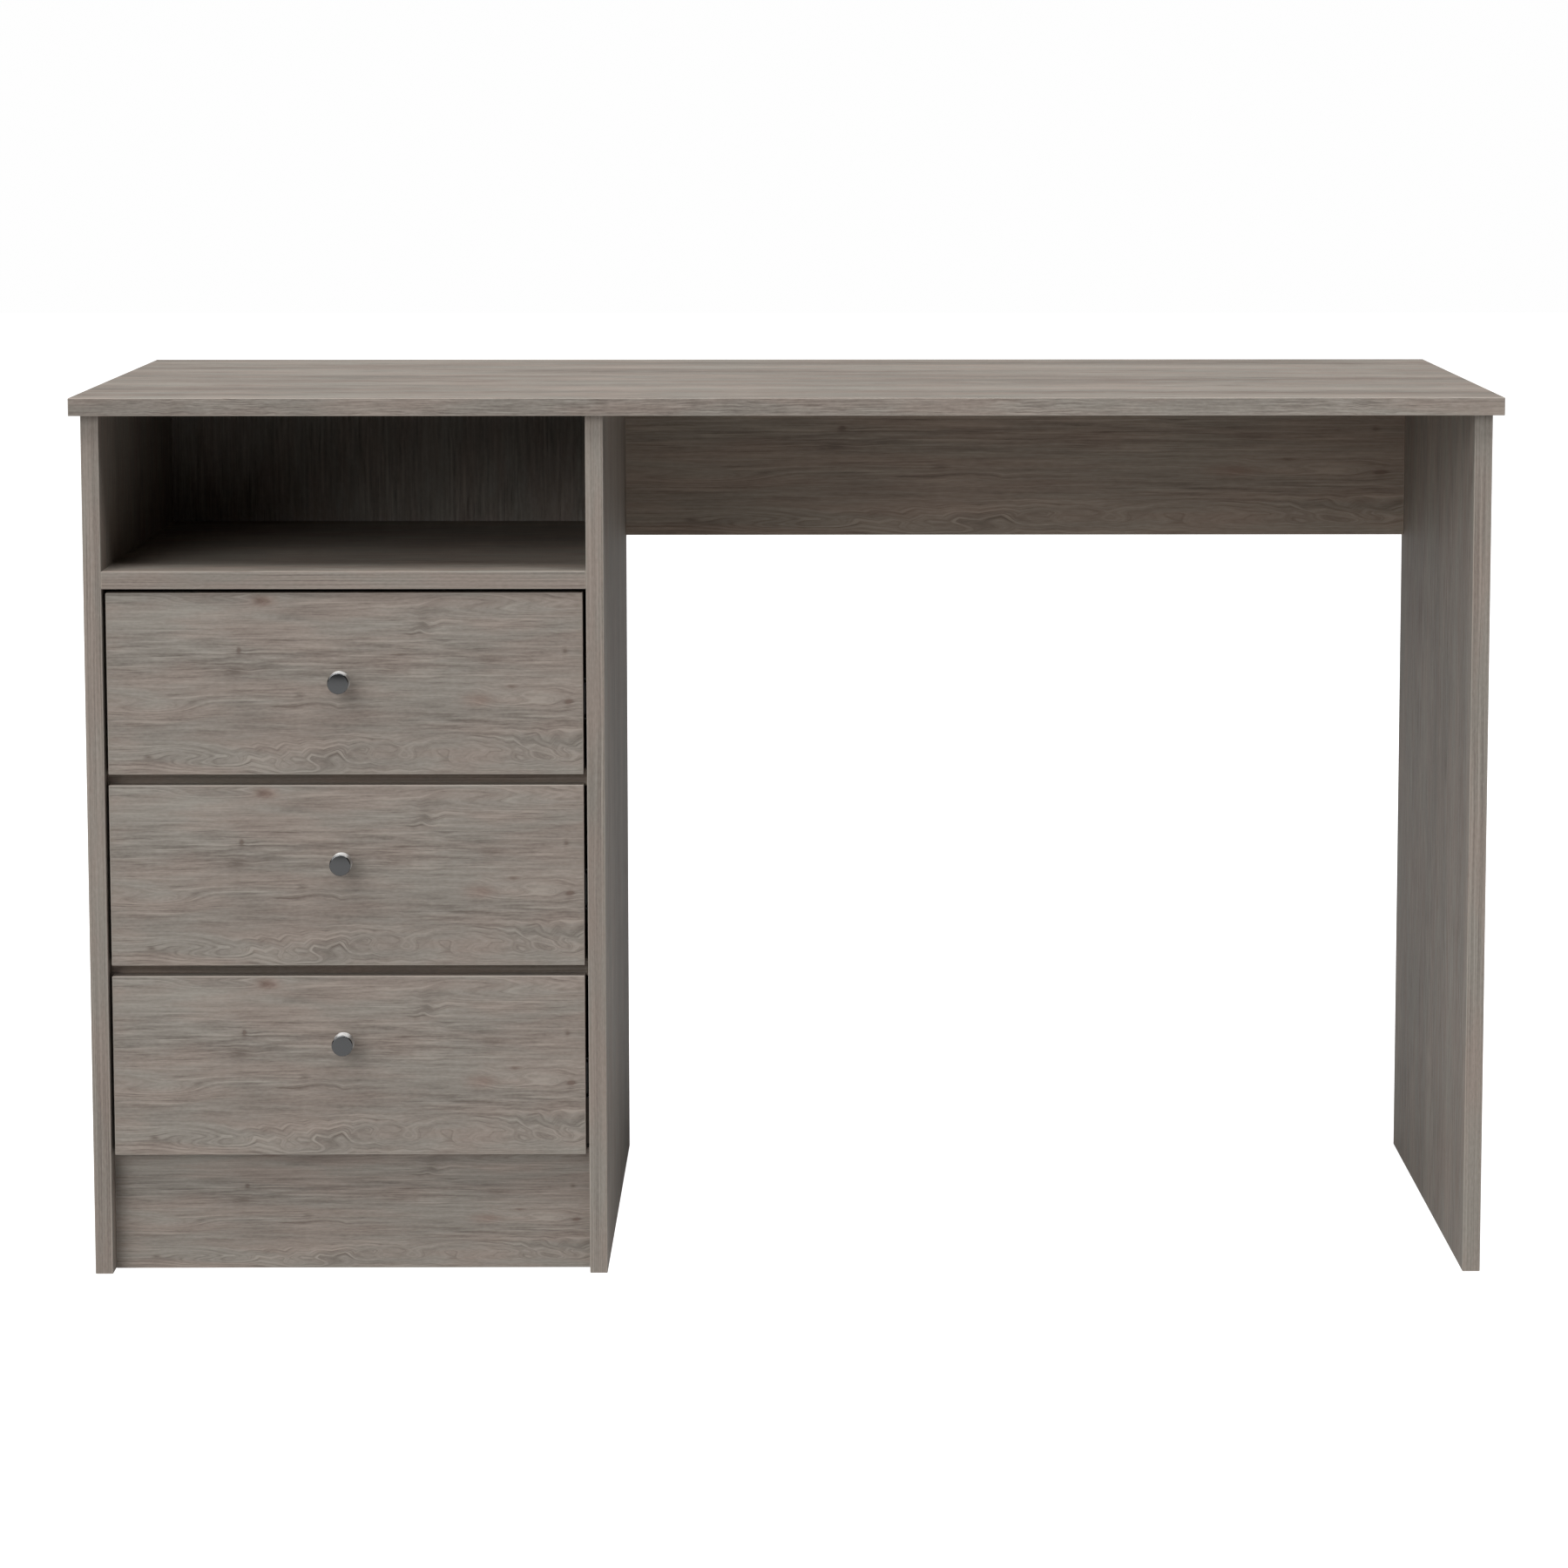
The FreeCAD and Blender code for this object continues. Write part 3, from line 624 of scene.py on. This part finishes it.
def ring(shape, x, y, z, radius):
    """The corners of one ring round a knob's axis, or the one corner where it meets the axis."""
    if radius == 0:
        return [shape.verts.new((x, y, z))]
    corners = []
    for step in range(KNOB_STEPS):
        angle = 2 * math.pi * step / KNOB_STEPS
        corners.append(shape.verts.new((x + radius * math.cos(angle), y,
                                        z + radius * math.sin(angle))))
    return corners


def knob(name, face_material, rim_material):
    """A lathed knob in place of the plain one: neck, satin rim and polished face, whose dark colour
    is a painted reflection.
    """
    low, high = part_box(f"{name}_drawer_knob")
    x = (low.x + high.x) / 2
    z = (low.z + high.z) / 2
    rim, face = knob_outline((high.x - low.x) / 2, high.y - low.y)
    shape = bmesh.new()
    rings = [ring(shape, x, high.y - out, z, radius) for out, radius in rim + face]
    for index, (first, second) in enumerate(zip(rings, rings[1:])):
        for step in range(KNOB_STEPS):
            after = (step + 1) % KNOB_STEPS
            corners = [first[step], first[after]]
            corners += [second[0]] if len(second) == 1 else [second[after], second[step]]
            shape.faces.new(corners).material_index = RIM if index < len(rim) else FACE
    shape.faces.new(rings[0]).material_index = RIM
    bmesh.ops.recalc_face_normals(shape, faces=shape.faces)
    piece = finish_mesh(f"{name}_knob_turned", shape, face_material, rim_material)
    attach(piece, f"{name}_drawer")
    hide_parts(f"{name}_drawer_knob")


def finish_mesh(name, shape, *materials):
    """Makes an object in the scene from a bmesh, and frees the bmesh."""
    mesh = bpy.data.meshes.new(name)
    shape.to_mesh(mesh)
    shape.free()
    for material in materials:
        mesh.materials.append(material)
    piece = bpy.data.objects.new(name, mesh)
    bpy.context.scene.collection.objects.link(piece)
    for polygon in mesh.polygons:
        polygon.use_smooth = True
    mesh.set_sharp_from_angle(angle=math.radians(SHARP_ANGLE))
    return piece


# ---- Stage ----

WHITE = (1, 1, 1, 1)
WORLD_FRONT = 0.02              # strength of the surroundings in front of the desk
WORLD_BEHIND = 0.30
BACKDROP = 0.99                 # the white that the camera sees
FLOOR_SIZE = 30.0
FLOOR_DROP = 0.0004             # below the desk's lowest faces
FLOOR_SEEN = 0.46               # the floor's own colour and glow, as the camera sees them
FLOOR_GLOW = 1.0
FLOOR_BOUNCE = 0.40             # its colour and glow, as the desk is lit by them
FLOOR_UPLIGHT = 0.11
LAMP_DISTANCE = 10
OVERHEAD_SIZE = (16, 5)
OVERHEAD_WATTS = 1330
OVERHEAD_FROM = (74, 0)         # elevation and azimuth, in degrees
LOW_FRONT_SPREAD = 40           # degrees
LOW_FRONT_STRENGTH = 1.34
LOW_FRONT_FROM = (25, -26)


def floor():
    """A plain white floor, bright to the camera. It lights the desk softly from below."""
    half = FLOOR_SIZE / 2
    mesh = bpy.data.meshes.new("floor")
    mesh.from_pydata([(-half, -half, 0), (half, -half, 0), (half, half, 0), (-half, half, 0)],
                     [], [(0, 1, 2, 3)])
    piece = bpy.data.objects.new("floor", mesh)
    piece.location.z = -FLOOR_DROP
    bpy.context.scene.collection.objects.link(piece)
    mesh.materials.append(floor_white())


def floor_white():
    """White with a glow of its own, stronger to the camera than to anything that it lights."""
    material = bpy.data.materials.new("floor_white")
    material.use_nodes = True
    nodes, links = material.node_tree.nodes, material.node_tree.links
    nodes.clear()
    path = nodes.new("ShaderNodeLightPath")
    mix = nodes.new("ShaderNodeMixShader")
    output = nodes.new("ShaderNodeOutputMaterial")
    links.new(path.outputs["Is Camera Ray"], mix.inputs[0])
    links.new(mix.outputs[0], output.inputs["Surface"])
    for socket, shade, glow in ((mix.inputs[1], FLOOR_BOUNCE, FLOOR_UPLIGHT),
                                (mix.inputs[2], FLOOR_SEEN, FLOOR_GLOW)):
        matt = nodes.new("ShaderNodeBsdfDiffuse")
        matt.inputs["Color"].default_value = (shade, shade, shade, 1)
        shine = nodes.new("ShaderNodeEmission")
        shine.inputs["Strength"].default_value = glow
        both = nodes.new("ShaderNodeAddShader")
        links.new(matt.outputs[0], both.inputs[0])
        links.new(shine.outputs[0], both.inputs[1])
        links.new(both.outputs[0], socket)
    return material


def world():
    """Soft grey surroundings, brightest behind the desk. The camera sees a white backdrop."""
    surround = bpy.data.worlds.new("studio")
    bpy.context.scene.world = surround
    surround.use_nodes = True
    nodes, links = surround.node_tree.nodes, surround.node_tree.links
    nodes.clear()
    light = nodes.new("ShaderNodeBackground")
    light.inputs["Color"].default_value = WHITE
    direction = nodes.new("ShaderNodeTexCoord")
    split = nodes.new("ShaderNodeSeparateXYZ")
    strength = nodes.new("ShaderNodeMapRange")
    strength.inputs["To Min"].default_value = WORLD_FRONT
    strength.inputs["To Max"].default_value = WORLD_BEHIND
    links.new(direction.outputs["Generated"], split.inputs[0])
    links.new(split.outputs["Y"], strength.inputs["Value"])
    links.new(strength.outputs[0], light.inputs["Strength"])
    white = nodes.new("ShaderNodeBackground")
    white.inputs["Strength"].default_value = BACKDROP
    white.inputs["Color"].default_value = WHITE
    path = nodes.new("ShaderNodeLightPath")
    mix = nodes.new("ShaderNodeMixShader")
    output = nodes.new("ShaderNodeOutputWorld")
    links.new(path.outputs["Is Camera Ray"], mix.inputs[0])
    links.new(light.outputs[0], mix.inputs[1])
    links.new(white.outputs[0], mix.inputs[2])
    links.new(mix.outputs[0], output.inputs["Surface"])


def towards(elevation, azimuth):
    """A direction, from angles in degrees. Azimuth 0 is straight in front of the desk, and it is
    positive to the right of that."""
    level = math.cos(math.radians(elevation))
    return Vector((level * math.sin(math.radians(azimuth)),
                   -level * math.cos(math.radians(azimuth)),
                   math.sin(math.radians(elevation))))


def lamp(name, light, direction):
    """Puts a light far from the middle of the desk, facing it."""
    piece = bpy.data.objects.new(name, light)
    piece.location = direction * LAMP_DISTANCE + Vector((0, 0, DESK_HEIGHT / 2))
    piece.rotation_euler = direction.to_track_quat("Z", "Y").to_euler()
    bpy.context.scene.collection.objects.link(piece)


def lights():
    """A broad light overhead, a little to the front, and a soft low one from the front left."""
    overhead = bpy.data.lights.new("overhead", "AREA")
    overhead.shape = "RECTANGLE"
    overhead.size, overhead.size_y = OVERHEAD_SIZE
    overhead.energy = OVERHEAD_WATTS
    lamp("overhead", overhead, towards(*OVERHEAD_FROM))
    low = bpy.data.lights.new("low_front", "SUN")
    low.angle = math.radians(LOW_FRONT_SPREAD)
    low.energy = LOW_FRONT_STRENGTH
    lamp("low_front", low, towards(*LOW_FRONT_FROM))


# ---- Camera ----

LENS_MM = 100.73
SENSOR_MM = 36.0
CAMERA_RIGHT = 0.0232           # of the middle of the desk
CAMERA_BEFORE = 3.6537          # in front of the desktop's front edge
CAMERA_ABOVE = 0.2673           # over the desktop
CAMERA_DOWN = 0.10541           # radians
CAMERA_TURN = 0.00707           # radians to the right
SHIFT_X = -0.0395
SHIFT_Y = -0.1556
VIEW_DEPTH = 100


def camera():
    data = bpy.data.cameras.new("camera")
    data.lens = LENS_MM
    data.sensor_width = SENSOR_MM
    data.shift_x = SHIFT_X
    data.shift_y = SHIFT_Y
    data.clip_end = VIEW_DEPTH
    view = bpy.data.objects.new("camera", data)
    view.location = (CAMERA_RIGHT, FRONT_EDGE - CAMERA_BEFORE, DESK_HEIGHT + CAMERA_ABOVE)
    view.rotation_euler = (math.pi / 2 - CAMERA_DOWN, 0, -CAMERA_TURN)
    bpy.context.scene.collection.objects.link(view)
    bpy.context.scene.camera = view


oak_boards()
fittings()
floor()
world()
lights()
camera()
bpy.context.scene.view_settings.view_transform = "Standard"
